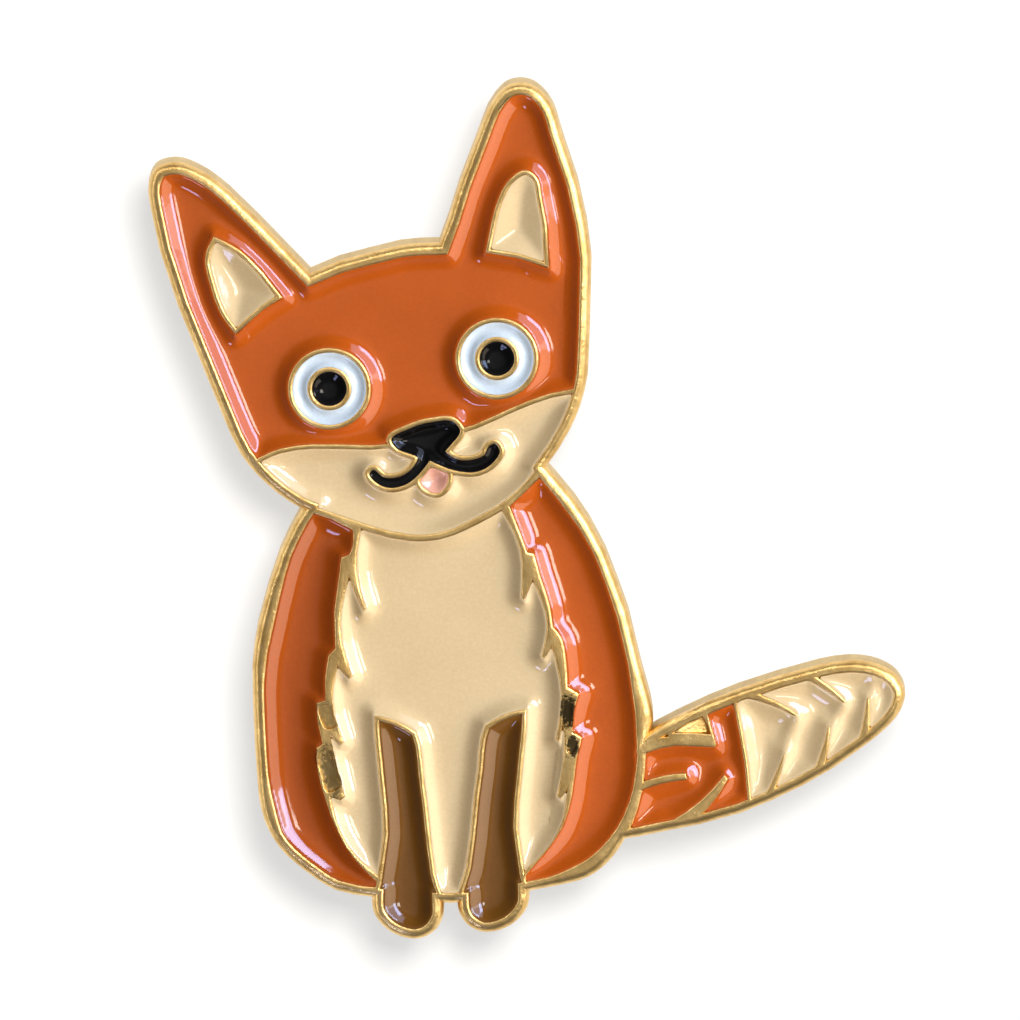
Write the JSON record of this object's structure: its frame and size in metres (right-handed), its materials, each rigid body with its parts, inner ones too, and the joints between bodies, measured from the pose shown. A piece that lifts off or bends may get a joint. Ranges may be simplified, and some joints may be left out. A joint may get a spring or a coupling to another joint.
{
  "type": "figural animal brooch",
  "caption": "Sitting fox brooch: a gold-plated struck plate with raised lines, soft enamel in its pockets, and posts with rubber clutches on its back.",
  "frame": {"origin": "on the surface that the brooch lies on, below the middle of its outline", "axes": "+Z out of the figure's face, +Y up the figure, +X to the right as it is seen"},
  "size_m": [0.0334, 0.0384, 0.0097],
  "materials": {
    "gold_plate": "polished gold plating",
    "orange_enamel": "glossy soft enamel",
    "cream_enamel": "glossy soft enamel",
    "brown_enamel": "glossy soft enamel",
    "white_enamel": "glossy soft enamel",
    "black_enamel": "glossy soft enamel",
    "pink_enamel": "glossy soft enamel",
    "black_rubber": "matt"
  },
  "bodies": {
    "root": {"plate": "gold_plate", "enamel_head": "orange_enamel", "enamel_muzzle": "cream_enamel", "ear_left": "cream_enamel", "ear_right": "cream_enamel", "eye_white_left": "white_enamel", "eye_white_right": "white_enamel", "pupil_left": "black_enamel", "pupil_right": "black_enamel", "nose": "black_enamel", "tongue": "pink_enamel", "flank_left": "orange_enamel", "flank_right": "orange_enamel", "chest": "cream_enamel", "leg_left": "brown_enamel", "leg_right": "brown_enamel", "tail_root": "orange_enamel", "tail_tip": "cream_enamel", "clutch_head": "black_rubber", "clutch_body": "black_rubber"}
  },
  "joints": []
}
